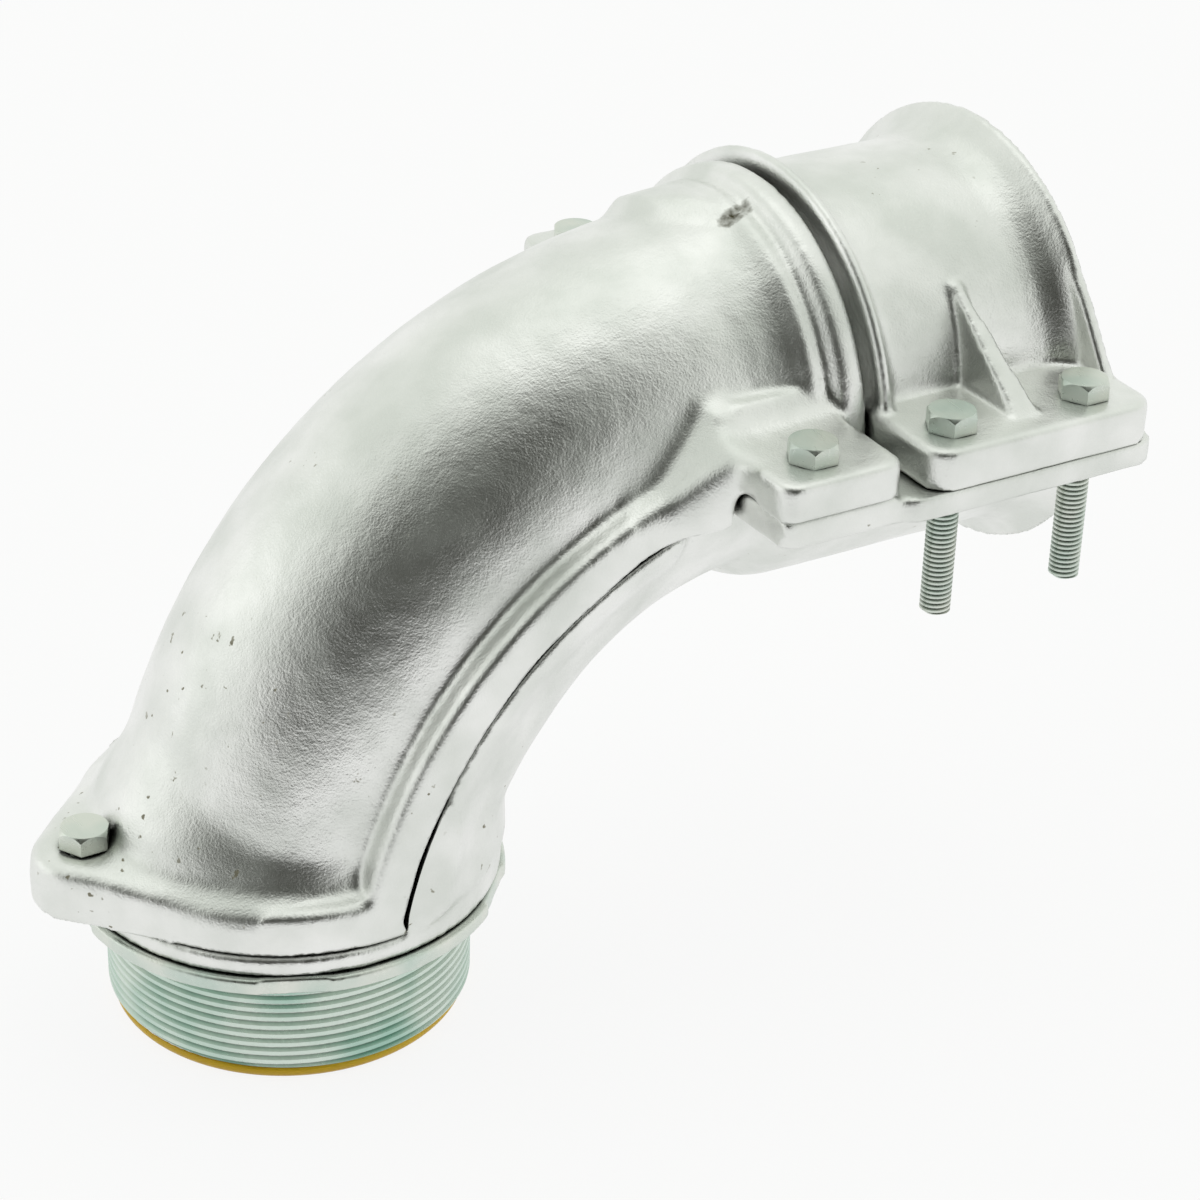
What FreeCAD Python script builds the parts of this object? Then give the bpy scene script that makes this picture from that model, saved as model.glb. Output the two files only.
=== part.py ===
import FreeCAD, Part
import math
import os

# Right-angle squeeze connector for flexible metal conduit, in millimetres.
# The origin is the centre of the hub's shoulder face, on the axis of the hub thread.
# +Z runs up the hub, +X runs out along the clamped conduit, and Y is across the bend.

# Hub and thread
hub_thread_r = 57.15
hub_thread_len = 41.0
hub_wall = 5.15
shoulder_w = 9.35
shoulder_t = 7.0
hub_chamfer = 1.6
thread_depth = 2.0

# Elbow
bend_r = 150.0
clamp_axis_z = 132.0
wall = 5.0
part_line_in = 6.0
rim_w = 16.0
rim_round = 3.0
rim_proud = 9.4
base_band_h = 15.0
heel_taper = 15.0
heel_shift = 9.0
cover_leg = 12.7
collar_rise = 9.8

# Clamp barrel that takes the conduit
conduit_r = 57.15
grip_clearance = 0.05
barrel_wall = 6.2
clamp_len = 79.0
low_half_extra = 4.5
lip_rise = 9.0
bead_rise = 7.2
cover_to_saddle = 3.3
cover_to_stop = 0.3
mouth_len = 9.5
flange_gap = 0.8

# Flanges, ears and the places of their screws
screw_out = 21.6
flange_edge = 15.0
screw_pitch = 49.5
saddle_to_bolt = 13.0
saddle_flange_t = 13.0
body_flange_t = 8.0
pad_rise = 2.0
ear_t = 12.0
ear_run = 22.0
near_ear_screw_in = 33.2
far_ear_screw_in = 13.2
near_ear_before = 16.5
near_ear_after = 24.0
far_ear_half = 12.0
heel_ear_r = 17.0
fairing_deg = 35.0
heel_lug_r = 13.0
heel_ear_t = 18.0
heel_lug_t = 3.0

# Fasteners, three eighths of an inch with sixteen threads to the inch
screw_r = 9.525 / 2.0
head_af = 14.29
head_h = 5.95
bolt_len = 62.0
cover_screw_len = 21.0
thread_clearance = 0.05
hole_clearance = 0.45
head_room = 1.2

# Locknut and throat liner
locknut_t = 5.6
nut_end_play = 0.2
locknut_ring_w = 4.0
locknut_lug_h = 6.8
locknut_notch_deg = 20.0
locknut_first_deg = -114.0
liner_wall = 1.8
liner_rim_in = 1.15
liner_rim_t = 4.2
liner_len = 20.0
liner_clearance = 0.05

# Sizes that follow from the ones above
bore_r = hub_thread_r - hub_wall
shoulder_r = hub_thread_r + shoulder_w
tube_r = bore_r + wall
bend_z = clamp_axis_z - bend_r
part_line_r = bend_r - part_line_in
cover_end_x = bend_r + cover_leg
stop_x = cover_end_x + cover_to_stop
saddle_start_x = cover_end_x + cover_to_saddle
end_x = saddle_start_x + clamp_len
low_end_x = end_x + low_half_extra
saddle_flange_end_x = end_x + 1.4
grip_r = conduit_r + grip_clearance
barrel_r = grip_r + barrel_wall
collar_r = tube_r + collar_rise
lip_r = barrel_r + lip_rise
bead_r = barrel_r + bead_rise
screw_y = barrel_r + screw_out
flange_y = screw_y + flange_edge
bolt_in_x = saddle_start_x + saddle_to_bolt
bolt_out_x = bolt_in_x + screw_pitch
heel_screw_x = -shoulder_r
heel_ear_top = shoulder_t + heel_ear_t
pad_z = clamp_axis_z + pad_rise
ear_top = pad_z + ear_t
flange_top = clamp_axis_z + saddle_flange_t
pad_in_y = collar_r + 0.6
pad_y = flange_y - 2.5
hole_r = screw_r + hole_clearance
tapped_r = screw_r + thread_clearance
run_out_r = hub_thread_r - thread_depth
nut_step_z = -locknut_t - nut_end_play

# The two side ears of the cover, the near one at -1 and the far one at 1
ear_screws = {-1: cover_end_x - near_ear_screw_in, 1: cover_end_x - far_ear_screw_in}
ear_starts = {-1: ear_screws[-1] - near_ear_before, 1: ear_screws[1] - far_ear_half}
ear_finishes = {-1: ear_screws[-1] + near_ear_after, 1: ear_screws[1] + far_ear_half}
step_x = ear_starts[-1]

BIG = 600.0
V = FreeCAD.Vector
AX_X = V(1, 0, 0)
AX_Y = V(0, 1, 0)
AX_Z = V(0, 0, 1)


def boxAt(x0, y0, z0, x1, y1, z1):
    return Part.makeBox(x1 - x0, y1 - y0, z1 - z0, V(x0, y0, z0))


def cylZ(x, y, z0, z1, r):
    return Part.makeCylinder(r, z1 - z0, V(x, y, z0), AX_Z)


def edgesAt(solid, z):
    return [e for e in solid.Edges if abs(e.BoundBox.ZMin - z) < 1e-6 and abs(e.BoundBox.ZMax - z) < 1e-6]


def plate(side, x0, x1, y_in, y_out, z0, z1, corner, edge):
    # A flat flange on one side of the clamp, with rounded upright corners and a rounded top edge.
    y0, y1 = sorted((side * y_in, side * y_out))
    solid = boxAt(x0, y0, z0, x1, y1, z1)
    upright = [e for e in solid.Edges if abs(e.tangentAt(e.FirstParameter).z) > 0.99]
    solid = solid.makeFillet(corner, upright)
    if edge > 0:
        solid = solid.makeFillet(edge, edgesAt(solid, z1))
    return solid


def turnedX(points):
    # Points are pairs of x and radius about the clamp axis.
    pts = [V(x, 0, clamp_axis_z + r) for x, r in points]
    return Part.Face(Part.makePolygon(pts + [pts[0]])).revolve(V(0, 0, clamp_axis_z), AX_X, 360)


def turnedZ(points):
    # Points are pairs of radius and z about the hub axis.
    pts = [V(r, 0, z) for r, z in points]
    return Part.Face(Part.makePolygon(pts + [pts[0]])).revolve(V(0, 0, 0), AX_Z, 360)


def webX(side, x0, x1, points):
    # Points are pairs of distance from the middle and z, joined into a web that runs along X.
    pts = [V(x0, side * y, z) for y, z in points]
    return Part.Face(Part.makePolygon(pts + [pts[0]])).extrude(V(x1 - x0, 0, 0))


def bend(r):
    ring = Part.Wire(Part.makeCircle(r, V(0, 0, bend_z), AX_Z))
    return Part.Face(ring).revolve(V(bend_r, 0, bend_z), AX_Y, 90)


def bendCylinder(r, half_y):
    return Part.makeCylinder(r, 2 * half_y, V(bend_r, -half_y, bend_z), AX_Y)


def above(z):
    return boxAt(-BIG, -BIG, z, BIG, BIG, BIG)


def below(z):
    return boxAt(-BIG, -BIG, -BIG, BIG, BIG, z)


def hexHead(x, y, z):
    ac = head_af / math.sqrt(3.0)
    angles = [math.radians(60 * k) for k in range(7)]
    pts = [V(x + ac * math.cos(a), y + ac * math.sin(a), z) for a in angles]
    head = Part.Face(Part.makePolygon(pts)).extrude(V(0, 0, head_h))
    dome = Part.makeCone(ac + head_h * 0.9, ac - 1.15, head_h * 1.38, V(x, y, z - head_h * 0.38), AX_Z)
    return head.common(dome)


def screw(x, y, z_seat, length):
    shank = cylZ(x, y, z_seat - length, z_seat, screw_r)
    end = [e for e in shank.Edges if abs(e.BoundBox.ZMax - (z_seat - length)) < 1e-6]
    shank = shank.makeChamfer(0.9, end)
    return shank.fuse(hexHead(x, y, z_seat)).removeSplitter()


def fuseAll(solids):
    return solids[0].fuse(solids[1:])


def cutAll(solid, tools):
    for tool in tools:
        solid = solid.cut(tool)
    return solid


# The way through for the cables, from the hub's end to the conduit's stop and on through the clamp
way = [
    cylZ(0, 0, -hub_thread_len - 5, 0.0, bore_r),
    bend(bore_r).common(above(0.0)),
    Part.makeCylinder(bore_r, stop_x - bend_r, V(bend_r, 0, clamp_axis_z), AX_X),
    Part.makeCylinder(grip_r, low_end_x + 10 - stop_x, V(stop_x, 0, clamp_axis_z), AX_X),
    Part.makeCone(grip_r, grip_r + mouth_len, mouth_len, V(low_end_x - mouth_len, 0, clamp_axis_z), AX_X),
]

# The side of the parting line that belongs to the lower body: inside a curve that runs beside the
# bend's centre line, under the clamp's split plane past the step, and under the shoulder's top face
body_side = fuseAll([
    bendCylinder(part_line_r, BIG / 2).common(boxAt(-BIG, -BIG, -BIG, step_x, BIG, BIG)),
    boxAt(step_x - 0.001, -BIG / 2, -BIG / 2, BIG, BIG / 2, clamp_axis_z),
    boxAt(-BIG, -BIG / 2, -BIG / 2, BIG, BIG / 2, shoulder_t),
])

tube = bend(tube_r).common(above(0.0))

# Lower body casting: threaded hub, inside half of the elbow and lower half of the clamp
hub = turnedZ([(0, -hub_thread_len), (hub_thread_r - hub_chamfer, -hub_thread_len),
               (hub_thread_r, -hub_thread_len + hub_chamfer), (hub_thread_r, nut_step_z),
               (run_out_r, nut_step_z), (run_out_r, 0), (shoulder_r - 0.8, 0), (shoulder_r, 0.8),
               (shoulder_r, shoulder_t), (0, shoulder_t)])
neck = turnedZ([(0, shoulder_t), (shoulder_r - 0.7, shoulder_t), (shoulder_r - 1.3, shoulder_t + 5),
                (shoulder_r - 1.9, shoulder_t + 31), (shoulder_r - 3.9, shoulder_t + 40),
                (tube_r - 2.0, shoulder_t + 53), (0, shoulder_t + 53)])
low_x = cover_end_x - 26.7
low_barrel = turnedX([(low_x, 0), (low_x, tube_r - 2.0), (low_x + 3, tube_r + 1.6),
                      (low_x + 7, barrel_r - 1.8), (low_x + 11, barrel_r - 0.5), (low_x + 15, barrel_r),
                      (low_end_x - 13.5, barrel_r), (low_end_x - 7.5, barrel_r + lip_rise * 0.22),
                      (low_end_x - 4.1, lip_r - lip_rise * 0.4), (low_end_x - 2.5, lip_r),
                      (low_end_x, lip_r), (low_end_x, 0)])
elbow_in = fuseAll([tube, neck]).common(body_side)
body_parts = [hub, elbow_in, low_barrel.common(below(clamp_axis_z))]
low_flange_z = clamp_axis_z - body_flange_t
for s in (-1, 1):
    body_parts.append(plate(s, cover_end_x - 10.2, low_end_x - 0.6, bore_r, flange_y,
                            low_flange_z, clamp_axis_z, 9.0, 0))
    body_parts.append(plate(s, ear_starts[s], saddle_start_x, bore_r, pad_y,
                            low_flange_z, clamp_axis_z, 7.0, 0))
    body_parts.append(plate(s, ear_starts[s], ear_finishes[s] - 1.0, pad_in_y, pad_y,
                            clamp_axis_z - 3.0, pad_z, 1.5, 0))
heel_lug_z = shoulder_t - heel_lug_t
body_parts.append(cylZ(heel_screw_x, 0, heel_lug_z, shoulder_t, heel_lug_r))
body_parts.append(boxAt(heel_screw_x, -heel_lug_r, heel_lug_z, 2.0 - bore_r, heel_lug_r, shoulder_t))
body = cutAll(fuseAll(body_parts), way)
for s in (-1, 1):
    for x in (bolt_in_x, bolt_out_x, ear_screws[s]):
        body = body.cut(cylZ(x, s * screw_y, low_flange_z - 20, pad_z + 20, tapped_r))
body = body.cut(cylZ(heel_screw_x, 0, -20, shoulder_t + 20, tapped_r)).removeSplitter()

# Elbow cover casting: outside half of the elbow with its rim, base flange, collar, ears and heel ear
collar_x = cover_end_x - 34.7
collar = turnedX([(collar_x, 0), (collar_x, tube_r - 0.8), (collar_x + 9.0, tube_r + 0.8),
                  (collar_x + 14.5, tube_r + 2.6), (cover_end_x - 17.1, collar_r - 4.8),
                  (cover_end_x - 15.7, collar_r - 4.0), (cover_end_x - 13.7, collar_r - 4.0),
                  (cover_end_x - 12.7, collar_r - 4.8), (cover_end_x - 10.1, collar_r - 4.8),
                  (cover_end_x - 8.3, collar_r - 0.8), (cover_end_x - 6.9, collar_r),
                  (cover_end_x - 0.8, collar_r), (cover_end_x, collar_r - 0.8), (cover_end_x, 0)])
rim_band = bendCylinder(part_line_r + rim_w, tube_r + rim_proud).cut(bendCylinder(part_line_r - 1.0, BIG / 2))
rim_band = rim_band.common(boxAt(-BIG, -BIG, shoulder_t, step_x + 10, BIG, BIG))
rim_edges = [e for e in rim_band.Edges if abs(e.BoundBox.YMax - e.BoundBox.YMin) < 1e-6
             and abs(getattr(e.Curve, "Radius", 0) - part_line_r - rim_w) < 1e-6]
rim_band = rim_band.makeFillet(rim_round, rim_edges)
band_z = shoulder_t + base_band_h
base_band = turnedZ([(0, shoulder_t), (shoulder_r - 0.6, shoulder_t), (shoulder_r, shoulder_t + 0.8),
                     (shoulder_r, band_z - 2.5), (shoulder_r - 0.8, band_z - 0.8),
                     (shoulder_r - 2.5, band_z), (tube_r + 3.0, band_z + 0.8),
                     (tube_r + 0.8, band_z + 3.5), (tube_r - 1.5, band_z + 9), (0, band_z + 9)])
# The heel leans on a cone whose axis is moved towards it, so that the cone ends in the elbow's sides.
heel_cone = turnedZ([(r - heel_shift, z) for r, z in (
    (heel_shift, shoulder_t), (shoulder_r - 3.5, shoulder_t), (shoulder_r - 3.5, band_z - 1),
    (shoulder_r - 6.0, band_z + 3), (tube_r + 1.6, band_z + 9), (tube_r - heel_taper, band_z + 36),
    (heel_shift, band_z + 36))])
heel_cone.translate(V(-heel_shift, 0, 0))
heel_in_x = 12.0 - bore_r
heel_ear = fuseAll([cylZ(heel_screw_x, 0, shoulder_t, heel_ear_top, heel_ear_r),
                    boxAt(heel_screw_x, -heel_ear_r, shoulder_t, heel_in_x, heel_ear_r, heel_ear_top)])
fairings = []
for s in (-1, 1):
    ear_y = heel_ear_r * 0.82
    ear_x = heel_screw_x - math.sqrt(heel_ear_r ** 2 - ear_y ** 2)
    band_x = -shoulder_r * math.cos(math.radians(fairing_deg))
    band_y = shoulder_r * math.sin(math.radians(fairing_deg))
    ear_cut = [(ear_x, shoulder_t), (heel_in_x, shoulder_t), (heel_in_x, heel_ear_top), (ear_x, heel_ear_top)]
    band_cut = [(band_x, shoulder_t), (heel_in_x, shoulder_t), (heel_in_x, band_z), (band_x, band_z)]
    ear_wire = Part.makePolygon([V(x, s * ear_y, z) for x, z in ear_cut + ear_cut[:1]])
    band_wire = Part.makePolygon([V(x, s * band_y, z) for x, z in band_cut + band_cut[:1]])
    fairings.append(Part.makeLoft([ear_wire, band_wire], True, True))
heel_top = [e for e in edgesAt(heel_ear, heel_ear_top) if e.BoundBox.XMax < heel_in_x - 1.0]
heel_ear = heel_ear.makeFillet(1.5, heel_top)
# The rim widens and rises into each side ear.
for s in (-1, 1):
    run_x = ear_starts[s] - ear_run
    run_z = bend_z + math.sqrt((part_line_r + rim_w) ** 2 - (bend_r - run_x) ** 2)
    end_cut = [(bore_r, ear_top - 40), (tube_r + rim_proud + 9, ear_top - 40),
               (tube_r + rim_proud + 9, ear_top - 0.5), (bore_r, ear_top + 6.0)]
    run_cut = [(bore_r, run_z - 40), (tube_r + rim_proud - 0.5, run_z - 40),
               (tube_r + rim_proud - 0.5, run_z - rim_round), (bore_r, run_z)]
    end_wire = Part.makePolygon([V(ear_starts[s] - 0.8, s * y, z) for y, z in end_cut + end_cut[:1]])
    run_wire = Part.makePolygon([V(run_x, s * y, z) for y, z in run_cut + run_cut[:1]])
    fairings.append(Part.makeLoft([end_wire, run_wire], True, True))
cover = fuseAll([tube, collar, rim_band, base_band, heel_cone, heel_ear] + fairings).cut(body_side)
ear_web = [(bore_r - 7, ear_top - 6), (tube_r + 11, ear_top - 6), (tube_r + 11, ear_top),
           (tube_r + 7, ear_top + 0.9), (tube_r + 3.6, ear_top + 3.2), (tube_r + 1.0, ear_top + 7),
           (bore_r - 7, ear_top + 7)]
ears = []
for s in (-1, 1):
    ears.append(plate(s, ear_starts[s] - 2.0, ear_finishes[s], bore_r - 12, flange_y,
                      pad_z, ear_top, 6.5, 1.5))
    ears.append(webX(s, ear_starts[s] - 1.0, ear_finishes[s] - 1.5, ear_web))
cover = cutAll(cover.fuse(ears), way)
for s in (-1, 1):
    cover = cover.cut(cylZ(ear_screws[s], s * screw_y, pad_z - 30, ear_top + 30, hole_r))
cover = cover.cut(cylZ(heel_screw_x, 0, -20, heel_ear_top + 20, hole_r))
# A spot face lets the heel screw's head turn beside the elbow.
head_turn_r = head_af / math.sqrt(3.0) + head_room
cover = cover.cut(cylZ(heel_screw_x, 0, heel_ear_top, heel_ear_top + 40, head_turn_r)).removeSplitter()

# Clamp saddle: upper half of the barrel with its bead, flared lip, flanges and gusset ribs
top_barrel = turnedX([(saddle_start_x, 0), (saddle_start_x, bead_r - 1.4), (saddle_start_x + 1.2, bead_r),
                      (saddle_start_x + 3.6, bead_r - 0.6), (saddle_start_x + 6.0, barrel_r + 1.4),
                      (saddle_start_x + 9.0, barrel_r), (end_x - 18, barrel_r),
                      (end_x - 12.5, barrel_r + lip_rise * 0.11), (end_x - 7.5, barrel_r + lip_rise * 0.4),
                      (end_x - 4.2, lip_r - lip_rise * 0.22), (end_x - 2.8, lip_r), (end_x, lip_r),
                      (end_x, 0)])
saddle_parts = [top_barrel.common(above(clamp_axis_z))]
lip_web = [(bore_r - 2, flange_top - 4), (lip_r + 7.6, flange_top - 4), (lip_r + 7.6, flange_top),
           (lip_r + 3.2, flange_top + 6), (lip_r - 2.0, flange_top + 13.8), (lip_r - 7.0, flange_top + 21),
           (lip_r - 14.4, flange_top + 29), (bore_r - 2, flange_top + 29)]
rib_x = (bolt_in_x + bolt_out_x) / 2.0
rib_rise = barrel_r * 0.65
rib_y = math.sqrt(barrel_r ** 2 - rib_rise ** 2) + 2.0
rib_z = flange_top - 2.0
rib_toe = screw_y + 8.0
for s in (-1, 1):
    saddle_parts.append(plate(s, cover_end_x + flange_gap, saddle_flange_end_x, bore_r - 2, flange_y,
                              clamp_axis_z, flange_top, 9.0, 1.5))
    saddle_parts.append(webX(s, end_x - 4.5, end_x, lip_web))
    toe = [(-5.0, bore_r - 2), (5.0, bore_r - 2), (5.0, rib_toe), (-5.0, rib_toe), (-5.0, bore_r - 2)]
    top = [(-1.8, rib_y - 10), (1.8, rib_y - 10), (1.8, rib_y), (-1.8, rib_y), (-1.8, rib_y - 10)]
    toe_wire = Part.makePolygon([V(rib_x + dx, s * y, rib_z) for dx, y in toe])
    top_wire = Part.makePolygon([V(rib_x + dx, s * y, clamp_axis_z + rib_rise) for dx, y in top])
    saddle_parts.append(Part.makeLoft([toe_wire, top_wire], True, True))
saddle = cutAll(fuseAll(saddle_parts), way)
for s in (-1, 1):
    for x in (bolt_in_x, bolt_out_x):
        saddle = saddle.cut(cylZ(x, s * screw_y, clamp_axis_z - 20, flange_top + 20, hole_r))
saddle = saddle.removeSplitter()

# Locknut with notched rim
nut_in_r = run_out_r + thread_clearance
nut_root_r = hub_thread_r + locknut_ring_w
nut_lug_r = nut_root_r + locknut_lug_h
nut_top_z = -nut_end_play / 2
nut_low_z = nut_top_z - locknut_t
locknut = turnedZ([(nut_in_r, nut_low_z), (nut_lug_r - 1.0, nut_low_z), (nut_lug_r, nut_low_z + 1.0),
                   (nut_lug_r, nut_top_z - 0.8), (nut_lug_r - 0.8, nut_top_z), (nut_in_r, nut_top_z)])
notch_half = nut_root_r * math.tan(math.radians(locknut_notch_deg / 2))
for k in range(5):
    notch = boxAt(nut_root_r, -notch_half, -locknut_t - 10, nut_lug_r + 20, notch_half, 10)
    notch.rotate(V(0, 0, 0), AX_Z, locknut_first_deg + 72 * k)
    locknut = locknut.cut(notch)
locknut = locknut.removeSplitter()

# Throat liner with its rolled rim on the end of the hub
liner_in_r = bore_r - liner_wall
liner_out_r = bore_r - liner_clearance
rim_r = hub_thread_r - liner_rim_in
end_z = -hub_thread_len
throat_liner = turnedZ([(liner_in_r, end_z + liner_len), (liner_out_r - 0.6, end_z + liner_len),
                        (liner_out_r, end_z + liner_len - 0.6), (liner_out_r, end_z), (rim_r - 0.5, end_z),
                        (rim_r, end_z - 0.5), (rim_r - 0.4, end_z - liner_rim_t * 0.55),
                        (rim_r - 1.4, end_z - liner_rim_t * 0.85), (rim_r - 2.6, end_z - liner_rim_t),
                        (liner_in_r + 1.2, end_z - liner_rim_t), (liner_in_r, end_z - liner_rim_t + 1.2)])

nodes = {
    "body": body,
    "cover": cover,
    "saddle": saddle,
    "locknut": locknut,
    "throat_liner": throat_liner,
    "cover_screw_near": screw(ear_screws[-1], -screw_y, ear_top, cover_screw_len),
    "cover_screw_far": screw(ear_screws[1], screw_y, ear_top, cover_screw_len),
    "cover_screw_heel": screw(heel_screw_x, 0, heel_ear_top, cover_screw_len),
    "clamp_bolt_near_inner": screw(bolt_in_x, -screw_y, flange_top, bolt_len),
    "clamp_bolt_near_outer": screw(bolt_out_x, -screw_y, flange_top, bolt_len),
    "clamp_bolt_far_inner": screw(bolt_in_x, screw_y, flange_top, bolt_len),
    "clamp_bolt_far_outer": screw(bolt_out_x, screw_y, flange_top, bolt_len),
}

os.makedirs("parts", exist_ok=True)
for name, shape in nodes.items():
    print(name, len(shape.Solids), "solid", shape.isValid(), round(shape.Volume / 1000.0, 1), "cm3")
    shape.exportStep(os.path.join("parts", name + ".step"))
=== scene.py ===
import math

import bmesh
import bpy
from mathutils import Matrix, Vector, noise
from mathutils.bvhtree import BVHTree


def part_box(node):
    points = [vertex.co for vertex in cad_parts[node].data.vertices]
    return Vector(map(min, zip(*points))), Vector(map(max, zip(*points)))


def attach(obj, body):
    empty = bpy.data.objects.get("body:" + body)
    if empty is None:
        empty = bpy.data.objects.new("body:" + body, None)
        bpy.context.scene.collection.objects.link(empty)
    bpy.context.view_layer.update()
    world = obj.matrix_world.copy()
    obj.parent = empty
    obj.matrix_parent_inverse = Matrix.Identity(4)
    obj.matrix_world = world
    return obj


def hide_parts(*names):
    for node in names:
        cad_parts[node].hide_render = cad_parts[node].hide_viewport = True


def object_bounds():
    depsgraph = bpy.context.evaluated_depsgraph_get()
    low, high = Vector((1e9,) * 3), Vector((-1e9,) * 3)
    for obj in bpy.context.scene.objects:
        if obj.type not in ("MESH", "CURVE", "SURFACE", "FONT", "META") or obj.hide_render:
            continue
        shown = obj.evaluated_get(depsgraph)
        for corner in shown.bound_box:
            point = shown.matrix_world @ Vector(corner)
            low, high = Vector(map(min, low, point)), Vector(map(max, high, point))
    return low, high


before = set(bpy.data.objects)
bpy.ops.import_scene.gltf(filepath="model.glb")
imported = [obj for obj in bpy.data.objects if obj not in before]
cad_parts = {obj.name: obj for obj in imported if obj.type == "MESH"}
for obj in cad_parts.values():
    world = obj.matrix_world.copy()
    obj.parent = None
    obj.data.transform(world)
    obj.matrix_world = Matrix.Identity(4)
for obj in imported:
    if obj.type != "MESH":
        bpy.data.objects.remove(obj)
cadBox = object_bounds()
scene = bpy.context.scene
scene.view_settings.view_transform = "Standard"
mm = 0.001
print("frame loaded:", len(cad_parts), "nodes")


def hexColour(text):
    channels = [int(text[i:i + 2], 16) / 255 for i in (1, 3, 5)]
    linear = [c / 12.92 if c <= 0.04045 else ((c + 0.055) / 1.055) ** 2.4 for c in channels]
    return (*linear, 1.0)


def addNode(tree, kind, settings, inputs):
    made = tree.nodes.new(kind)
    for key, value in settings.items():
        setattr(made, key, value)
    for key, value in inputs.items():
        if isinstance(value, bpy.types.NodeSocket):
            tree.links.new(value, made.inputs[key])
        else:
            made.inputs[key].default_value = value
    return made


def newMaterial(name):
    made = bpy.data.materials.new(name)
    made.use_nodes = True
    tree = made.node_tree
    return made, tree, tree.nodes["Principled BSDF"]


def perMm(size):
    return 1 / (size * mm)  # a noise scale whose features are about that many millimetres wide


# Zinc plate on sand-cast malleable iron: bright and a little green, with the sand's fine grain,
# soft lumps, cloudy dull patches, scattered grey pits that the plate didn't cover, and painted shade in its
# corners
castingLook = {
    "light": "#EFF0ED", "shade": "#E0E3DE", "pit": "#9E9B8A", "paintedShade": "#2C2D24",
    "polished": 0.28, "dull": 0.42, "cloudFrom": 0.35, "cloudTo": 0.65, "glossFrom": 0.3, "glossTo": 0.7,
    "patchMm": 26, "grainMm": 0.68, "lumpMm": 2.1, "pitMm": 3.4, "fieldMm": 40, "paintedShadeMm": 7.0,
    "grainBump": 0.72, "grainDeepMm": 0.16, "lumpBump": 0.20, "lumpDeepMm": 0.5,
    "pitBump": 0.12, "pitDeepMm": 0.3, "pitRough": 0.35, "pitFrom": 0.715, "pitTo": 0.755,
    "fieldFrom": 0.52, "fieldTo": 0.62, "lean": 0.0, "paintedShadeFrom": 0.12, "paintedShadeTo": 0.56,
}
# The cover has most of its pits on the heel's side, and a dark scar where its gate was broken off
coverLook = {
    **castingLook, "lean": -2.4, "pitFrom": 0.685, "pitTo": 0.725,
    "scar": "#57533F", "scarMm": 4.2, "scarEdgeMm": 2.5, "scarRaggedMm": 6,
    "scarAt": [(143.4, -13.3, 192.2), (146.6, -12.2, 193.4), (149.8, -11.1, 194.2)],
}


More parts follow.
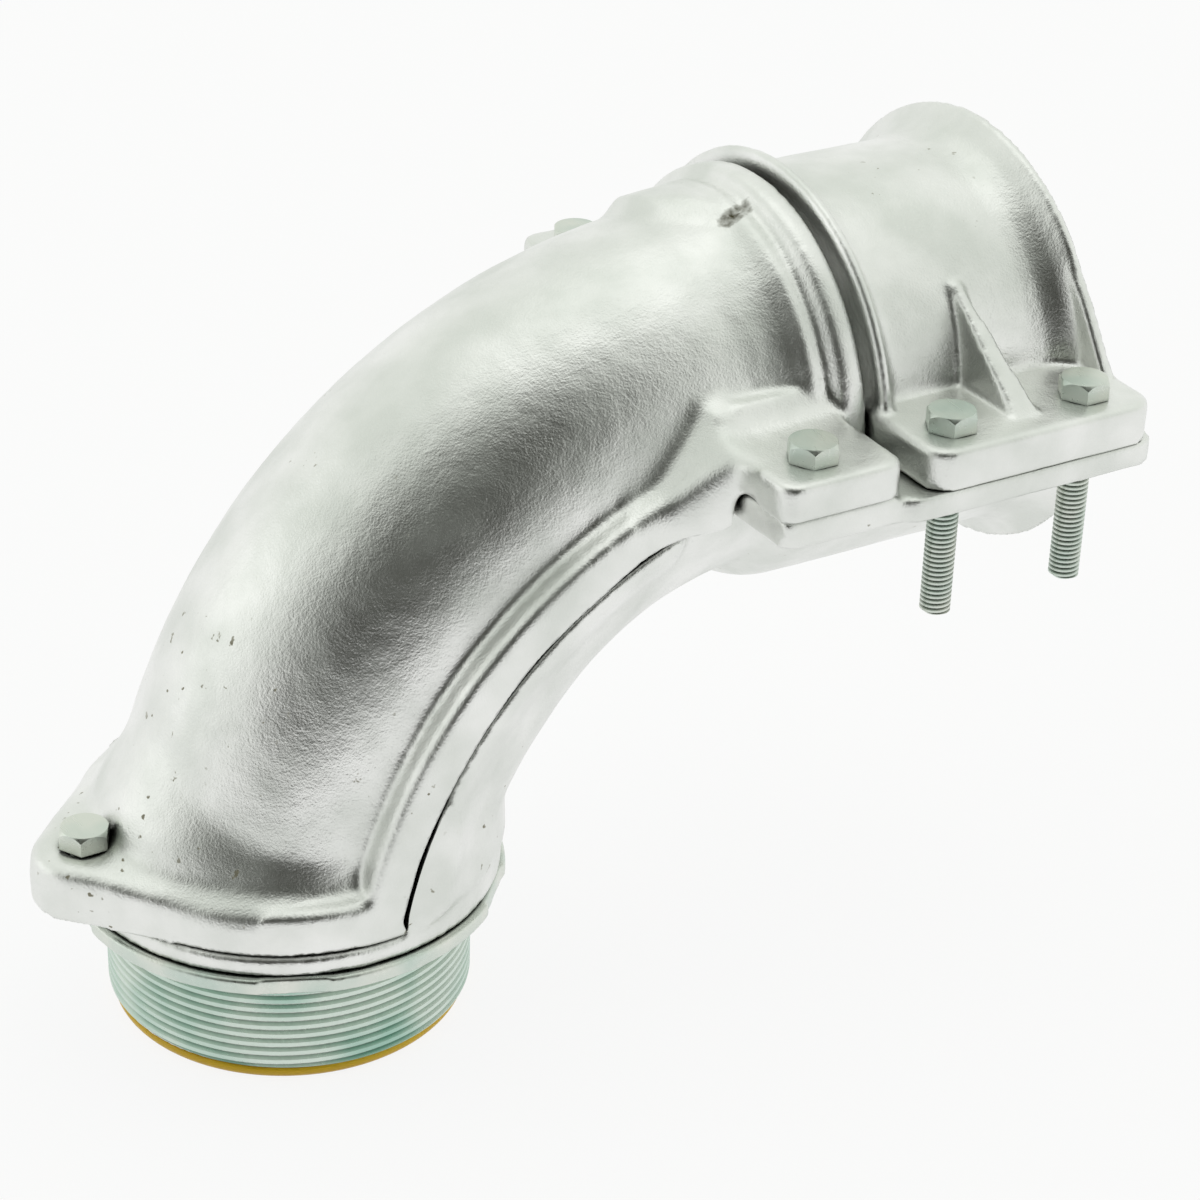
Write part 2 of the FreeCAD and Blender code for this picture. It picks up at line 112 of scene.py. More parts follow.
def zincCasting(name, look):
    made, tree, shader = newMaterial(name)
    place = addNode(tree, "ShaderNodeTexCoord", {}, {}).outputs["Object"]
    details = {"patchMm": 4.0, "grainMm": 3.0, "lumpMm": 2.0, "pitMm": 2.5, "fieldMm": 1.0}
    patch, grain, lump, spot, field = (
        addNode(tree, "ShaderNodeTexNoise", {}, {
            "Vector": place, "Scale": perMm(look[size]), "Detail": detail})
        for size, detail in details.items())
    spots = addNode(tree, "ShaderNodeMapRange", {}, {
        "Value": spot.outputs[0], "From Min": look["pitFrom"], "From Max": look["pitTo"],
        "To Min": 0.0, "To Max": 1.0})
    across = addNode(tree, "ShaderNodeSeparateXYZ", {}, {"Vector": place})
    leaning = addNode(tree, "ShaderNodeMath", {"operation": "MULTIPLY_ADD"}, {
        0: across.outputs["X"], 1: look["lean"], 2: field.outputs[0]})
    fields = addNode(tree, "ShaderNodeMapRange", {}, {
        "Value": leaning.outputs[0], "From Min": look["fieldFrom"], "From Max": look["fieldTo"],
        "To Min": 0.0, "To Max": 1.0})
    pits = addNode(tree, "ShaderNodeMath", {"operation": "MULTIPLY"}, {
        0: spots.outputs[0], 1: fields.outputs[0]})
    cloud = addNode(tree, "ShaderNodeMapRange", {}, {
        "Value": patch.outputs[0], "From Min": look["cloudFrom"], "From Max": look["cloudTo"],
        "To Min": 0.0, "To Max": 1.0})
    plate = addNode(tree, "ShaderNodeMix", {"data_type": "RGBA"}, {
        "Factor": cloud.outputs[0], "A": hexColour(look["light"]), "B": hexColour(look["shade"])})
    colour = addNode(tree, "ShaderNodeMix", {"data_type": "RGBA"}, {
        "Factor": pits.outputs[0], "A": plate.outputs["Result"], "B": hexColour(look["pit"])})
    marks = pits
    if "scarAt" in look:
        away = [addNode(tree, "ShaderNodeVectorMath", {"operation": "DISTANCE"}, {
            0: place, 1: Vector(spotAt) * mm}).outputs["Value"] for spotAt in look["scarAt"]]
        least = addNode(tree, "ShaderNodeMath", {"operation": "MINIMUM"}, {0: away[0], 1: away[1]})
        least = addNode(tree, "ShaderNodeMath", {"operation": "MINIMUM"}, {0: least.outputs[0], 1: away[2]})
        ragged = addNode(tree, "ShaderNodeMath", {"operation": "MULTIPLY_ADD"}, {
            0: spot.outputs[0], 1: look["scarRaggedMm"] * mm, 2: least.outputs[0]})
        scar = addNode(tree, "ShaderNodeMapRange", {}, {
            "Value": ragged.outputs[0], "From Min": look["scarMm"] * mm,
            "From Max": (look["scarMm"] + look["scarEdgeMm"]) * mm, "To Min": 1.0, "To Max": 0.0})
        colour = addNode(tree, "ShaderNodeMix", {"data_type": "RGBA"}, {
            "Factor": scar.outputs[0], "A": colour.outputs["Result"], "B": hexColour(look["scar"])})
        marks = addNode(tree, "ShaderNodeMath", {"operation": "MAXIMUM"}, {
            0: pits.outputs[0], 1: scar.outputs[0]})
    # Painted shade: where ambient occlusion finds nearby surfaces, in corners, gaps and under overhangs, the
    # colour darkens
    corner = addNode(tree, "ShaderNodeAmbientOcclusion", {"samples": 6}, {"Distance": look["paintedShadeMm"] * mm})
    paintedShadeMask = addNode(tree, "ShaderNodeMapRange", {}, {
        "Value": corner.outputs["AO"], "From Min": look["paintedShadeFrom"], "From Max": look["paintedShadeTo"],
        "To Min": 1.0, "To Max": 0.0})
    colour = addNode(tree, "ShaderNodeMix", {"data_type": "RGBA"}, {
        "Factor": paintedShadeMask.outputs[0], "A": colour.outputs["Result"], "B": hexColour(look["paintedShade"])})
    gloss = addNode(tree, "ShaderNodeMapRange", {}, {
        "Value": patch.outputs[0], "From Min": look["glossFrom"], "From Max": look["glossTo"],
        "To Min": look["polished"], "To Max": look["dull"]})
    rough = addNode(tree, "ShaderNodeMath", {"operation": "MULTIPLY_ADD", "use_clamp": True}, {
        0: marks.outputs[0], 1: look["pitRough"], 2: gloss.outputs[0]})
    lumps = addNode(tree, "ShaderNodeBump", {}, {
        "Height": lump.outputs[0], "Strength": look["lumpBump"], "Distance": look["lumpDeepMm"] * mm})
    grains = addNode(tree, "ShaderNodeBump", {}, {
        "Height": grain.outputs[0], "Strength": look["grainBump"], "Distance": look["grainDeepMm"] * mm,
        "Normal": lumps.outputs[0]})
    dents = addNode(tree, "ShaderNodeBump", {"invert": True}, {
        "Height": pits.outputs[0], "Strength": look["pitBump"], "Distance": look["pitDeepMm"] * mm,
        "Normal": grains.outputs[0]})
    tree.links.new(colour.outputs["Result"], shader.inputs["Base Color"])
    tree.links.new(rough.outputs[0], shader.inputs["Roughness"])
    tree.links.new(dents.outputs[0], shader.inputs["Normal"])
    shader.inputs["Metallic"].default_value = 1.0
    return made


# Zinc plate on machined steel: smoother and cooler, with faint lines from the tool and a thin
# blue-green passivation film that drifts over the surface, and painted shade in the thread's grooves and
# corners
plateLook = {
    "light": "#DBDFD6", "film": "#C4D1C8", "paintedShade": "#39423A", "polished": 0.26, "dull": 0.40,
    "filmMm": 18, "filmFrom": 0.4, "filmTo": 0.7, "glossFrom": 0.3, "glossTo": 0.7,
    "lineMm": 0.9, "stretch": 14, "lineBump": 0.14, "lineDeepMm": 0.15,
    "paintedShadeMm": 2.2, "paintedShadeShare": 0.85, "paintedShadeFrom": 0.25, "paintedShadeTo": 0.72,
}


def zincPlate(name, look):
    made, tree, shader = newMaterial(name)
    place = addNode(tree, "ShaderNodeTexCoord", {}, {}).outputs["Object"]
    drawn = addNode(tree, "ShaderNodeMapping", {}, {"Vector": place, "Scale": (1, 1 / look["stretch"], 1)})
    film = addNode(tree, "ShaderNodeTexNoise", {}, {
        "Vector": place, "Scale": perMm(look["filmMm"]), "Detail": 2.0})
    lines = addNode(tree, "ShaderNodeTexNoise", {}, {
        "Vector": drawn.outputs[0], "Scale": perMm(look["lineMm"]), "Detail": 2.0})
    drift = addNode(tree, "ShaderNodeMapRange", {}, {
        "Value": film.outputs[0], "From Min": look["filmFrom"], "From Max": look["filmTo"],
        "To Min": 0.0, "To Max": 1.0})
    colour = addNode(tree, "ShaderNodeMix", {"data_type": "RGBA"}, {
        "Factor": drift.outputs[0], "A": hexColour(look["light"]), "B": hexColour(look["film"])})
    # Painted shade: where ambient occlusion finds nearby surfaces, as in thread grooves and under heads, the
    # colour darkens by up to a set share
    corner = addNode(tree, "ShaderNodeAmbientOcclusion", {"samples": 6}, {"Distance": look["paintedShadeMm"] * mm})
    paintedShadeMask = addNode(tree, "ShaderNodeMapRange", {}, {
        "Value": corner.outputs["AO"], "From Min": look["paintedShadeFrom"], "From Max": look["paintedShadeTo"],
        "To Min": look["paintedShadeShare"], "To Max": 0.0})
    colour = addNode(tree, "ShaderNodeMix", {"data_type": "RGBA"}, {
        "Factor": paintedShadeMask.outputs[0], "A": colour.outputs["Result"], "B": hexColour(look["paintedShade"])})
    gloss = addNode(tree, "ShaderNodeMapRange", {}, {
        "Value": lines.outputs[0], "From Min": look["glossFrom"], "From Max": look["glossTo"],
        "To Min": look["polished"], "To Max": look["dull"]})
    scratches = addNode(tree, "ShaderNodeBump", {}, {
        "Height": lines.outputs[0], "Strength": look["lineBump"], "Distance": look["lineDeepMm"] * mm})
    tree.links.new(colour.outputs["Result"], shader.inputs["Base Color"])
    tree.links.new(gloss.outputs[0], shader.inputs["Roughness"])
    tree.links.new(scratches.outputs[0], shader.inputs["Normal"])
    shader.inputs["Metallic"].default_value = 1.0
    return made


# Moulded thermoplastic, mustard yellow and half matt, with the mould's fine texture
linerLook = {"light": "#F6CC22", "shade": "#E4B517", "flowMm": 15, "textureMm": 0.8, "textureBump": 0.15,
             "textureDeepMm": 0.1, "rough": 0.42, "ior": 1.49}


def mouldedPlastic(name, look):
    made, tree, shader = newMaterial(name)
    place = addNode(tree, "ShaderNodeTexCoord", {}, {}).outputs["Object"]
    flow, fine = (
        addNode(tree, "ShaderNodeTexNoise", {}, {"Vector": place, "Scale": perMm(look[size]), "Detail": 2.0})
        for size in ("flowMm", "textureMm"))
    colour = addNode(tree, "ShaderNodeMix", {"data_type": "RGBA"}, {
        "Factor": flow.outputs[0], "A": hexColour(look["light"]), "B": hexColour(look["shade"])})
    texture = addNode(tree, "ShaderNodeBump", {}, {
        "Height": fine.outputs[0], "Strength": look["textureBump"], "Distance": look["textureDeepMm"] * mm})
    tree.links.new(colour.outputs["Result"], shader.inputs["Base Color"])
    tree.links.new(texture.outputs[0], shader.inputs["Normal"])
    shader.inputs["Roughness"].default_value = look["rough"]
    shader.inputs["IOR"].default_value = look["ior"]
    return made


castMetal = zincCasting("zincPlatedCastIron", castingLook)
coverMetal = zincCasting("zincPlatedCoverIron", coverLook)
boltSteel = zincPlate("zincPlatedSteel", plateLook)
# The hub's thread has a stronger green film and less painted shade in its grooves, and the locknut is pale
# with no drawn lines
threadMetal = zincPlate("zincPlatedThread", {
    **plateLook, "light": "#D3E0D6", "film": "#93BDAD", "filmMm": 34, "paintedShadeShare": 0.4})
nutMetal = zincPlate("zincPlatedLocknut", {**plateLook, "light": "#E0E3DB", "film": "#C6D4CB", "stretch": 1})
linerPlastic = mouldedPlastic("mouldedYellowPlastic", linerLook)
print("materials made")


def addPiece(name, mesh, body, slotName, material, *nodes):
    piece = bpy.data.objects.new(name, mesh)
    scene.collection.objects.link(piece)
    mesh.materials.clear()
    mesh.materials.append(material)
    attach(piece, body)
    if nodes:
        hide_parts(*nodes)
    return piece


def nodeBmesh(node):
    bm = bmesh.new()
    bm.from_mesh(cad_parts[node].data)
    bmesh.ops.remove_doubles(bm, verts=bm.verts[:], dist=0.002 * mm)
    return bm


# An even skin over a CAD solid, with its edges and inside corners softened as a sand mould leaves them
def castSkin(node, skinMm, soften, reshape=None):
    bm = nodeBmesh(node)
    if reshape:
        reshape(bm)
    mesh = bpy.data.meshes.new(node + "Skin")
    bm.to_mesh(mesh)
    bm.free()
    mould = bpy.data.objects.new(node + "Mould", mesh)
    scene.collection.objects.link(mould)
    skin = mould.modifiers.new("evenSkin", "REMESH")
    skin.mode = "VOXEL"
    skin.voxel_size = skinMm * mm
    soft = mould.modifiers.new("softEdges", "SMOOTH")
    soft.factor = 0.5
    soft.iterations = soften
    shaped = bpy.data.meshes.new_from_object(mould.evaluated_get(bpy.context.evaluated_depsgraph_get()))
    bpy.data.objects.remove(mould)
    for face in shaped.polygons:
        face.use_smooth = True
    return shaped


# Each casting's skin and how uneven its surface is
castings = {
    "body": {"body": "fitting", "metal": castMetal, "skinMm": 1.48, "soften": 5, "waveMm": 17, "wave": 0.14},
    "cover": {"body": "cover", "metal": coverMetal, "skinMm": 1.4, "soften": 7, "waveMm": 17, "wave": 0.16},
    "saddle": {"body": "saddle", "metal": castMetal, "skinMm": 1.2, "soften": 5, "waveMm": 15, "wave": 0.12},
}
seamGap = 0.7  # as cast, the cover's edge doesn't close on the body's
elbow = {"bend": 150.0, "axis": -18.0}  # the bend's radius, and its axis, which lies at x 150 and z -18
# Along the bend the cover's rim ends above the body's lip, which stands out as far as the rim does.
# Each pair of numbers is where a form begins and where it is whole.
seam = {
    **elbow, "joint": 144.0, "heel": 144.8, "low": (6.0, 14.0), "end": (98.0, 110.0),
    "edge": 147.0, "edgeRagged": 0.8, "raggedMm": 24, "edgeSide": (56.8, 58.5), "edgeDeep": 5,
    "lip": 145.2, "lipRise": (141.0, 143.4), "wall": (53.0, 56.0), "proud": 8.6, "face": 65.6,
    "side": (40, 52), "flank": (0.5, 22.0), "bulge": 2.6, "bulgeIn": (10, 30), "bulgeTop": (45, 85),
}
# Where the cover's forms run into each other: two corners of a box in x, y without its sign, and z,
# and how often what lies in the box is smoothed
blends = [
    ((66, 50, 80), (122, 84, 168), 4), ((74, 50, 86), (121, 84, 168), 6), ((82, 50, 92), (120, 84, 168), 14),
    ((-90, -1, 17), (4, 56, 96), 8), ((-90, -1, 17), (0, 56, 88), 16),
]
# The foot is where the ridge starts to be spun, below its cut end, so it sets where the crests lie
hubThread = {"crest": 57.15, "root": 55.9, "pitch": 3.175, "top": -5.9, "end": -39.6, "foot": -45.7625,
             "steps": 120}
# The gate's pad on top of the bend begins near the line where x + y is the slant,
# and the gate broke off there
gatePad = {**elbow, "rise": 62.0, "deep": 7, "start": (123.5, 131.0), "near": (-9.0, 9.0), "slant": 136.0,
           "far": (26.0, 34.0), "past": 2}
gateStub = {"at": (146.6, -12.2, 193.4), "along": (0.91, 0.30, 0.28), "long": 5.5, "wide": 2.4, "deep": 1.9,
            "even": 0.75, "ragged": 0.5, "raggedMm": 2.2}


def waveSkin(mesh, look):
    # The normals are read first, because a move makes them stale
    normals = [vertex.normal.copy() for vertex in mesh.vertices]
    for vertex, normal in zip(mesh.vertices, normals):
        broad = noise.noise(vertex.co * perMm(look["waveMm"]))
        fine = noise.noise(vertex.co * perMm(look["waveMm"] / 3))
        vertex.co += normal * (broad + 0.5 * fine) * look["wave"] * mm


def turnDownHub(mesh, look):
    # The nipple goes down to the thread's root, and the thread itself is a piece of its own
    for vertex in mesh.vertices:
        reach = math.hypot(vertex.co.x, vertex.co.y)
        if vertex.co.z < look["top"] * mm and reach > look["root"] * mm:
            vertex.co.x *= look["root"] * mm / reach
            vertex.co.y *= look["root"] * mm / reach


def easeIn(value, low, high):
    share = min(max((value - low) / (high - low), 0.0), 1.0)
    return share * share * (3 - 2 * share)


def raisePad(mesh, look):
    # The gate's pad carries the collar's height on over the top of the bend
    for vertex in mesh.vertices:
        x, y, z = vertex.co / mm
        near = easeIn(y + x - look["slant"], *look["near"])
        share = easeIn(x, *look["start"]) * near * (1 - easeIn(y, *look["far"]))
        if share > 0 and x < look["bend"] + look["past"]:
            middle = look["axis"] + math.sqrt(look["bend"] ** 2 - (look["bend"] - min(x, look["bend"])) ** 2)
            reach = math.hypot(y, z - middle)
            if reach > look["rise"] - look["deep"] and z > middle:
                grown = max(1.0, 1 + (look["rise"] / reach - 1) * share)
                vertex.co.y = y * grown * mm
                vertex.co.z = (middle + (z - middle) * grown) * mm


def seamPlace(vertex, look):
    # Distance from the bend's axis, and how far the seam's form is whole there
    x, y, z = vertex.co / mm
    reach = math.hypot(x - look["bend"], z - look["axis"])
    return y, z, reach, easeIn(z, *look["low"]) * (1 - easeIn(x, *look["end"]))


def moveOut(vertex, look, out, aside):
    # Out from the bend's axis, and aside along y
    away = Vector((vertex.co.x - look["bend"] * mm, 0, vertex.co.z - look["axis"] * mm)).normalized()
    vertex.co += away * out * mm
    vertex.co.y += aside * mm


def flareBody(mesh, look):
    # The lip under the cover's rim, and the belly of the neck
    for vertex in mesh.vertices:
        y, z, reach, share = seamPlace(vertex, look)
        wall = math.hypot(reach - look["bend"], y)
        share *= easeIn(wall, *look["wall"])
        if share == 0 or reach > look["heel"]:  # what lies past the joint is the heel
            continue
        flare = share * (1 - easeIn(look["joint"] - reach, *look["flank"])) * easeIn(abs(y), *look["side"])
        rise = (look["lip"] - look["joint"]) * share * easeIn(reach, *look["lipRise"])
        belly = look["bulge"] * share * easeIn(look["bend"] - reach, *look["bulgeIn"])
        belly *= 1 - easeIn(z, *look["bulgeTop"])
        aside = min(look["proud"] * flare, max(0.0, look["face"] - abs(y)))
        moveOut(vertex, look, rise + belly * (reach - look["bend"]) / wall,
                math.copysign(aside, y) + belly * y / wall)


def trimRim(mesh, look):
    # The rim's lower edge goes up to leave the seam's gap, a little unevenly
    for vertex in mesh.vertices:
        y, _, reach, share = seamPlace(vertex, look)
        edge = look["edge"] + look["edgeRagged"] * noise.noise(vertex.co * perMm(look["raggedMm"]))
        share *= easeIn(abs(y), *look["edgeSide"])
        if share > 0 and edge - look["edgeDeep"] < reach < edge:
            moveOut(vertex, look, (edge - reach) * share, 0)


def blendForms(mesh, boxes):
    bm = bmesh.new()
    bm.from_mesh(mesh)
    for low, high, times in boxes:
        inside = [v for v in bm.verts if all(
            least * mm < place < most * mm
            for least, place, most in zip(low, (v.co.x, abs(v.co.y), v.co.z), high))]
        for _ in range(times):
            bmesh.ops.smooth_vert(bm, verts=inside, factor=0.5,
                                  use_axis_x=True, use_axis_y=True, use_axis_z=True)
    bm.to_mesh(mesh)
    bm.free()


def openSeam(mesh, node, gap):
    # What lies closer to the other casting than the gap is pushed off it
    bm = nodeBmesh(node)
    other = BVHTree.FromBMesh(bm)
    bm.free()
    for vertex in mesh.vertices:
        spot, normal, _, _ = other.find_nearest(vertex.co, 4 * gap * mm)
        if spot is not None:
            short = gap * mm - (vertex.co - spot).dot(normal)
            vertex.co += normal * max(0.0, short)


def breakGate(mesh, look):
    # A rough gouge where the gate was broken off the cover
    centre = Vector(look["at"]) * mm
    along = Vector(look["along"]).normalized()
    normals = [vertex.normal.copy() for vertex in mesh.vertices]
    for vertex, normal in zip(mesh.vertices, normals):
        away = vertex.co - centre
        if away.length < look["long"] * 2 * mm:
            run = away.dot(along)
            side = (away - along * run).length
            dip = math.exp(-(run / (look["long"] * mm)) ** 4 - (side / (look["wide"] * mm)) ** 2)
            ragged = look["even"] + look["ragged"] * noise.noise(vertex.co * perMm(look["raggedMm"]))
            vertex.co -= normal * dip * ragged * look["deep"] * mm


def keepInside(mesh, box):
    # The uneven skin stays within the size of the CAD model
    for vertex in mesh.vertices:
        vertex.co = [min(max(place, low), high) for place, low, high in zip(vertex.co, *box)]


for node, look in castings.items():
    mesh = castSkin(node, look["skinMm"], look["soften"])
    if node == "cover":
        raisePad(mesh, gatePad)
        blendForms(mesh, blends)
        trimRim(mesh, seam)
    waveSkin(mesh, look)
    if node == "body":
        turnDownHub(mesh, hubThread)
        flareBody(mesh, seam)
    if node == "cover":
        breakGate(mesh, gateStub)
        openSeam(mesh, "body", seamGap)
    keepInside(mesh, cadBox)
    addPiece(node + "Casting", mesh, look["body"], "casting", look["metal"], node)
    print("casting:", node, len(mesh.polygons), "faces")


# A thread is one closed right-handed ridge, spun up its axis and cut flat at both ends.
# Half the crest, half the root and the part sunk in the shank are shares of the pitch.
ridge = {"crest": 0.21, "root": 0.44, "sunk": 0.25}


def addThread(bm, look, x, y):
    crestHalf = look["pitch"] * ridge["crest"]
    rootHalf = look["pitch"] * ridge["root"]
    inside = look["root"] - ridge["sunk"] * look["pitch"]
    outline = [(inside, rootHalf), (look["root"], rootHalf), (look["crest"], crestHalf),
               (look["crest"], -crestHalf), (look["root"], -rootHalf), (inside, -rootHalf)]
    turns = (look["top"] - look["foot"]) / look["pitch"] + 1
    steps = int(look["steps"] * turns)
    verts = [bm.verts.new(((x + r) * mm, y * mm, (look["foot"] + z) * mm)) for r, z in outline]
    edges = [bm.edges.new((verts[i], verts[(i + 1) % len(verts)])) for i in range(len(verts))]
    before = set(bm.verts) - set(verts)
    bmesh.ops.spin(bm, geom=verts + edges, cent=(x * mm, y * mm, 0), axis=(0, 0, 1), use_duplicate=False,
                   dvec=(0, 0, look["pitch"] * turns / steps * mm), angle=2 * math.pi * turns, steps=steps)
    for level, up in ((look["top"], 1), (look["end"], -1)):
        spun = [v for v in bm.verts if v not in before]
        sides = list({e for v in spun for e in v.link_edges})
        faces = list({f for v in spun for f in v.link_faces})
        bmesh.ops.bisect_plane(bm, geom=spun + sides + faces, plane_co=(0, 0, level * mm),
                               plane_no=(0, 0, up), clear_outer=True)
    rims = [e for e in bm.edges if e.is_boundary and not before.intersection(e.verts)]
    bmesh.ops.holes_fill(bm, edges=rims)


bm = bmesh.new()
addThread(bm, hubThread, 0, 0)
bmesh.ops.recalc_face_normals(bm, faces=bm.faces[:])
mesh = bpy.data.meshes.new("hubThreadRidge")
bm.to_mesh(mesh)
bm.free()
addPiece("hubThreadRidge", mesh, "fitting", "casting", threadMetal)
print("hub thread:", len(mesh.polygons), "faces")


# Hex screws keep their CAD heads, and their plain shanks get rolled threads
screwLook = {"head": 5.95, "shank": 4.7625, "root": 4.05, "pitch": 1.5875, "plain": 2.0, "point": 0.8,
             "steps": 24, "edge": 0.22, "sharp": 28}


def rolledScrew(node, look):
    low, high = (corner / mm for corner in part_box(node))
    x, y = (low.x + high.x) / 2, (low.y + high.y) / 2
    seat = high.z - look["head"]
    bm = nodeBmesh(node)
    for vertex in bm.verts:
        away = Vector((vertex.co.x - x * mm, vertex.co.y - y * mm, 0))
        if vertex.co.z < (seat + 0.01) * mm and away.length < (look["shank"] + 0.02) * mm:
            vertex.co -= away * (1 - look["root"] / look["shank"])
    dull = [e for e in bm.edges if e.is_manifold and e.calc_face_angle() > math.radians(look["sharp"])
            and min(v.co.z for v in e.verts) > (seat - 0.01) * mm]
    bmesh.ops.bevel(bm, geom=dull, offset=look["edge"] * mm, offset_type="OFFSET", affect="EDGES",
                    segments=2, profile=0.5, material=-1, clamp_overlap=True)
    end = low.z + look["point"]
    thread = {"crest": look["shank"], "root": look["root"], "pitch": look["pitch"], "steps": look["steps"],
              "top": seat - look["plain"], "end": end, "foot": end - look["pitch"]}
    addThread(bm, thread, x, y)
    bmesh.ops.recalc_face_normals(bm, faces=bm.faces[:])
    mesh = bpy.data.meshes.new(node + "Rolled")
    bm.to_mesh(mesh)
    bm.free()
    return mesh


screws = [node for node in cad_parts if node.startswith(("cover_screw", "clamp_bolt"))]
for node in sorted(screws):
    addPiece(node + "Rolled", rolledScrew(node, screwLook), node, "fastener", boltSteel, node)
print("screws:", len(screws))

# Each small piece's skin, and the locknut's notches, which are shallow:
# their floors move out to near the rim
nutSkin = {"skinMm": 0.8, "soften": 4}
linerSkin = {"skinMm": 0.7, "soften": 3}
nutNotches = {"floor": 61.15, "half": 10.9, "first": -114.0, "count": 5, "out": 5.0, "slack": 0.05}


def raiseNotches(bm):
    for number in range(nutNotches["count"]):
        angle = math.radians(nutNotches["first"] + 360 / nutNotches["count"] * number)
        outward = Vector((math.cos(angle), math.sin(angle), 0))
        aside = Vector((-outward.y, outward.x, 0))
        for vertex in bm.verts:
            onFloor = abs(vertex.co.dot(outward) / mm - nutNotches["floor"]) < nutNotches["slack"]
            if onFloor and abs(vertex.co.dot(aside)) < nutNotches["half"] * mm:
                vertex.co += outward * nutNotches["out"] * mm


nutMesh = castSkin("locknut", nutSkin["skinMm"], nutSkin["soften"], raiseNotches)
addPiece("locknutPlated", nutMesh, "locknut", "nut", nutMetal, "locknut")
linerMesh = castSkin("throat_liner", linerSkin["skinMm"], linerSkin["soften"])
addPiece("throatLinerMoulded", linerMesh, "fitting", "liner", linerPlastic, "throat_liner")
print("locknut and liner made")

# Studio: a pale floor, one wide soft lamp above and one at the left, and a darker room behind the camera
studio = {
    "floor": "#F4F5F3", "floorRough": 0.9, "floorSize": 6.0, "floorDrop": 0.2, "white": 0.88,
    "sky": "#EDF0EB", "wall": "#F6F7F5", "dark": "#282821", "strength": 1.04,
    "skyFrom": 0.10, "skyTo": 0.62, "darkFrom": 0.60, "darkTo": 0.93,
}
lamps = {
    "overheadLamp": {"place": (0.3, 0.35, 1.9), "size": 1.6, "power": 1.6},
    "leftLamp": {"place": (-1.5, 0.95, 0.65), "size": 1.2, "power": 1.0},
}
camera = {"azimuth": -31.6, "elevation": 28.9, "roll": 1.9, "right": 94.8, "up": 82.6, "back": 999.4,
          "lens": 96.0}

azimuth, elevation, roll = (math.radians(camera[k]) for k in ("azimuth", "elevation", "roll"))
backward = Vector((math.sin(azimuth) * math.cos(elevation), -math.cos(azimuth) * math.cos(elevation),
                   math.sin(elevation)))
right = Vector((math.cos(azimuth), math.sin(azimuth), 0))
up = backward.cross(right)
eye = (right * camera["right"] + up * camera["up"] + backward * camera["back"]) * mm
tiltRight = right * math.cos(roll) + up * math.sin(roll)
tiltUp = up * math.cos(roll) - right * math.sin(roll)

lens = bpy.data.cameras.new("photoCamera")
lens.lens = camera["lens"]
lens.sensor_width = 36.0
viewer = bpy.data.objects.new("photoCamera", lens)
scene.collection.objects.link(viewer)
viewer.matrix_world = Matrix.Translation(eye) @ Matrix((tiltRight, tiltUp, backward)).transposed().to_4x4()
scene.camera = viewer


def paleFloor(look):
    made, tree, shader = newMaterial("paleFloor")
    shader.inputs["Base Color"].default_value = hexColour(look["floor"])
    shader.inputs["Roughness"].default_value = look["floorRough"]
    path = addNode(tree, "ShaderNodeLightPath", {}, {})
    seen = addNode(tree, "ShaderNodeMath", {"operation": "MAXIMUM"}, {
        0: path.outputs["Is Camera Ray"], 1: path.outputs["Is Glossy Ray"]})
    shown = addNode(tree, "ShaderNodeMath", {"operation": "MAXIMUM"}, {
        0: seen.outputs[0], 1: path.outputs["Is Transmission Ray"]})
    share = addNode(tree, "ShaderNodeMath", {"operation": "MULTIPLY"}, {
        0: shown.outputs[0], 1: look["white"]})
    paper = addNode(tree, "ShaderNodeEmission", {}, {"Color": (1.0, 1.0, 1.0, 1.0), "Strength": 1.0})
    mixed = addNode(tree, "ShaderNodeMixShader", {}, {
        0: share.outputs[0], 1: shader.outputs[0], 2: paper.outputs[0]})
    tree.links.new(mixed.outputs[0], tree.nodes["Material Output"].inputs["Surface"])
    return made


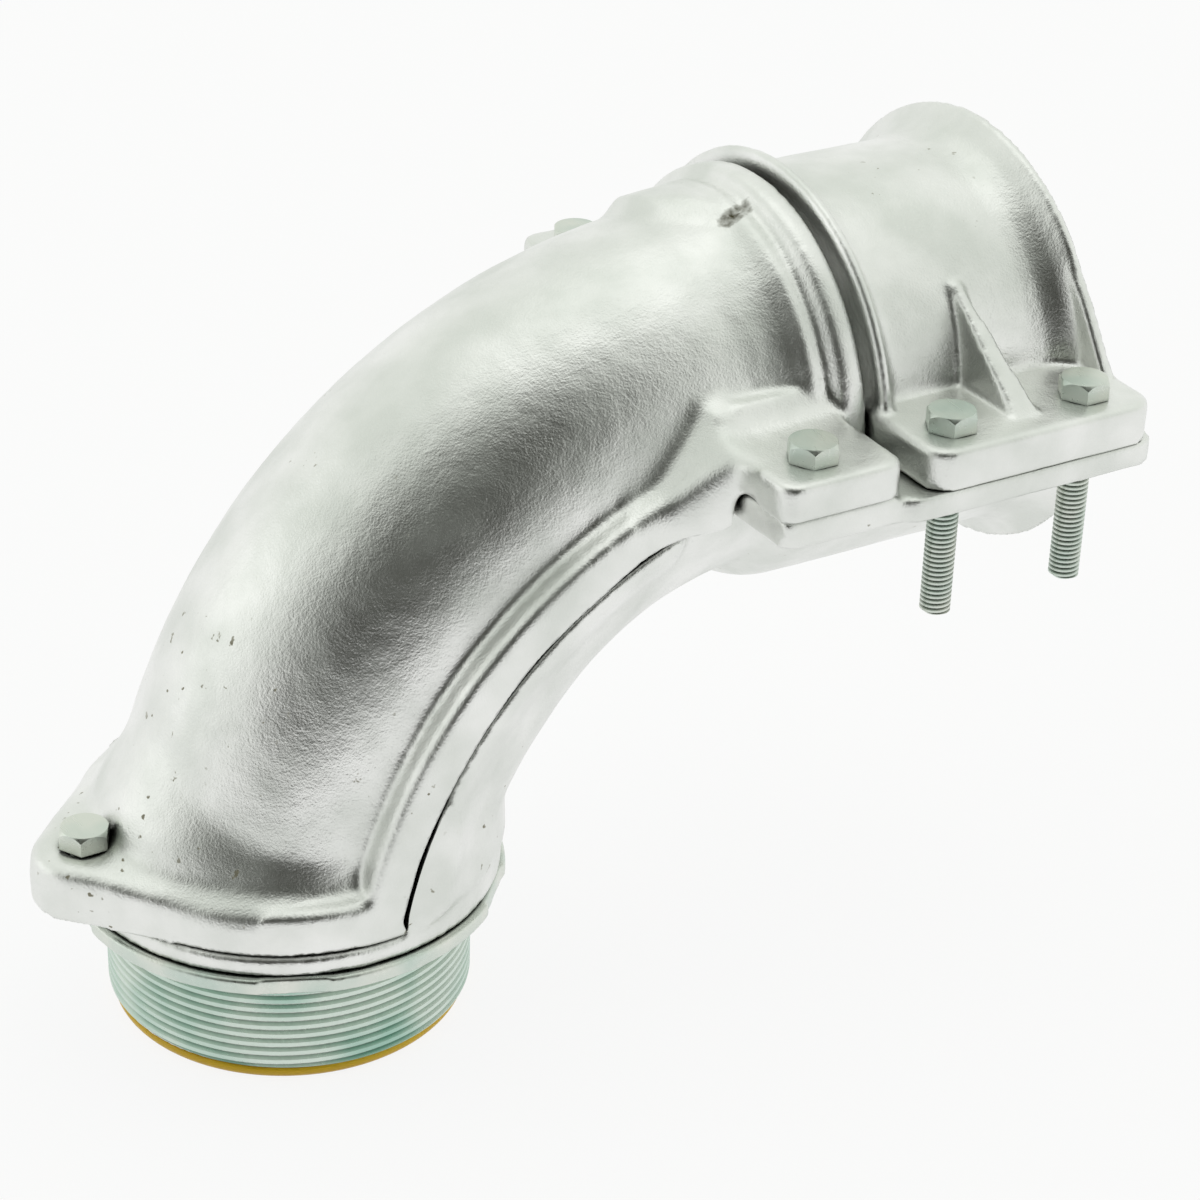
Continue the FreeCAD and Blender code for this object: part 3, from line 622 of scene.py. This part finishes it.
bm = bmesh.new()
bmesh.ops.create_grid(bm, x_segments=1, y_segments=1, size=studio["floorSize"])
bmesh.ops.translate(bm, verts=bm.verts[:], vec=(0, 0, cadBox[0].z - studio["floorDrop"] * mm))
mesh = bpy.data.meshes.new("studioFloor")
bm.to_mesh(mesh)
bm.free()
floor = bpy.data.objects.new("studioFloor", mesh)
scene.collection.objects.link(floor)
mesh.materials.append(paleFloor(studio))

world = bpy.data.worlds.new("studioRoom")
scene.world = world
world.use_nodes = True
tree = world.node_tree
room = tree.nodes["Background"]
ray = addNode(tree, "ShaderNodeTexCoord", {}, {}).outputs["Generated"]
height = addNode(tree, "ShaderNodeSeparateXYZ", {}, {"Vector": ray})
rise = addNode(tree, "ShaderNodeMapRange", {"interpolation_type": "SMOOTHSTEP"}, {
    "Value": height.outputs["Z"], "From Min": studio["skyFrom"], "From Max": studio["skyTo"],
    "To Min": 0.0, "To Max": 1.0})
facing = addNode(tree, "ShaderNodeVectorMath", {"operation": "DOT_PRODUCT"}, {0: ray, 1: tuple(backward)})
shade = addNode(tree, "ShaderNodeMapRange", {"interpolation_type": "SMOOTHSTEP"}, {
    "Value": facing.outputs["Value"], "From Min": studio["darkFrom"], "From Max": studio["darkTo"],
    "To Min": 0.0, "To Max": 1.0})
walls = addNode(tree, "ShaderNodeMix", {"data_type": "RGBA"}, {
    "Factor": rise.outputs[0], "A": hexColour(studio["wall"]), "B": hexColour(studio["sky"])})
whole = addNode(tree, "ShaderNodeMix", {"data_type": "RGBA"}, {
    "Factor": shade.outputs[0], "A": walls.outputs["Result"], "B": hexColour(studio["dark"])})
tree.links.new(whole.outputs["Result"], room.inputs["Color"])
room.inputs["Strength"].default_value = studio["strength"]

middle = (cadBox[0] + cadBox[1]) / 2
for name, look in lamps.items():
    data = bpy.data.lights.new(name, "AREA")
    data.shape = "DISK"
    data.size = look["size"]
    data.energy = look["power"]
    lamp = bpy.data.objects.new(name, data)
    scene.collection.objects.link(lamp)
    lamp.location = look["place"]
    lamp.rotation_euler = (middle - Vector(look["place"])).to_track_quat("-Z", "Y").to_euler()
print("studio lit")
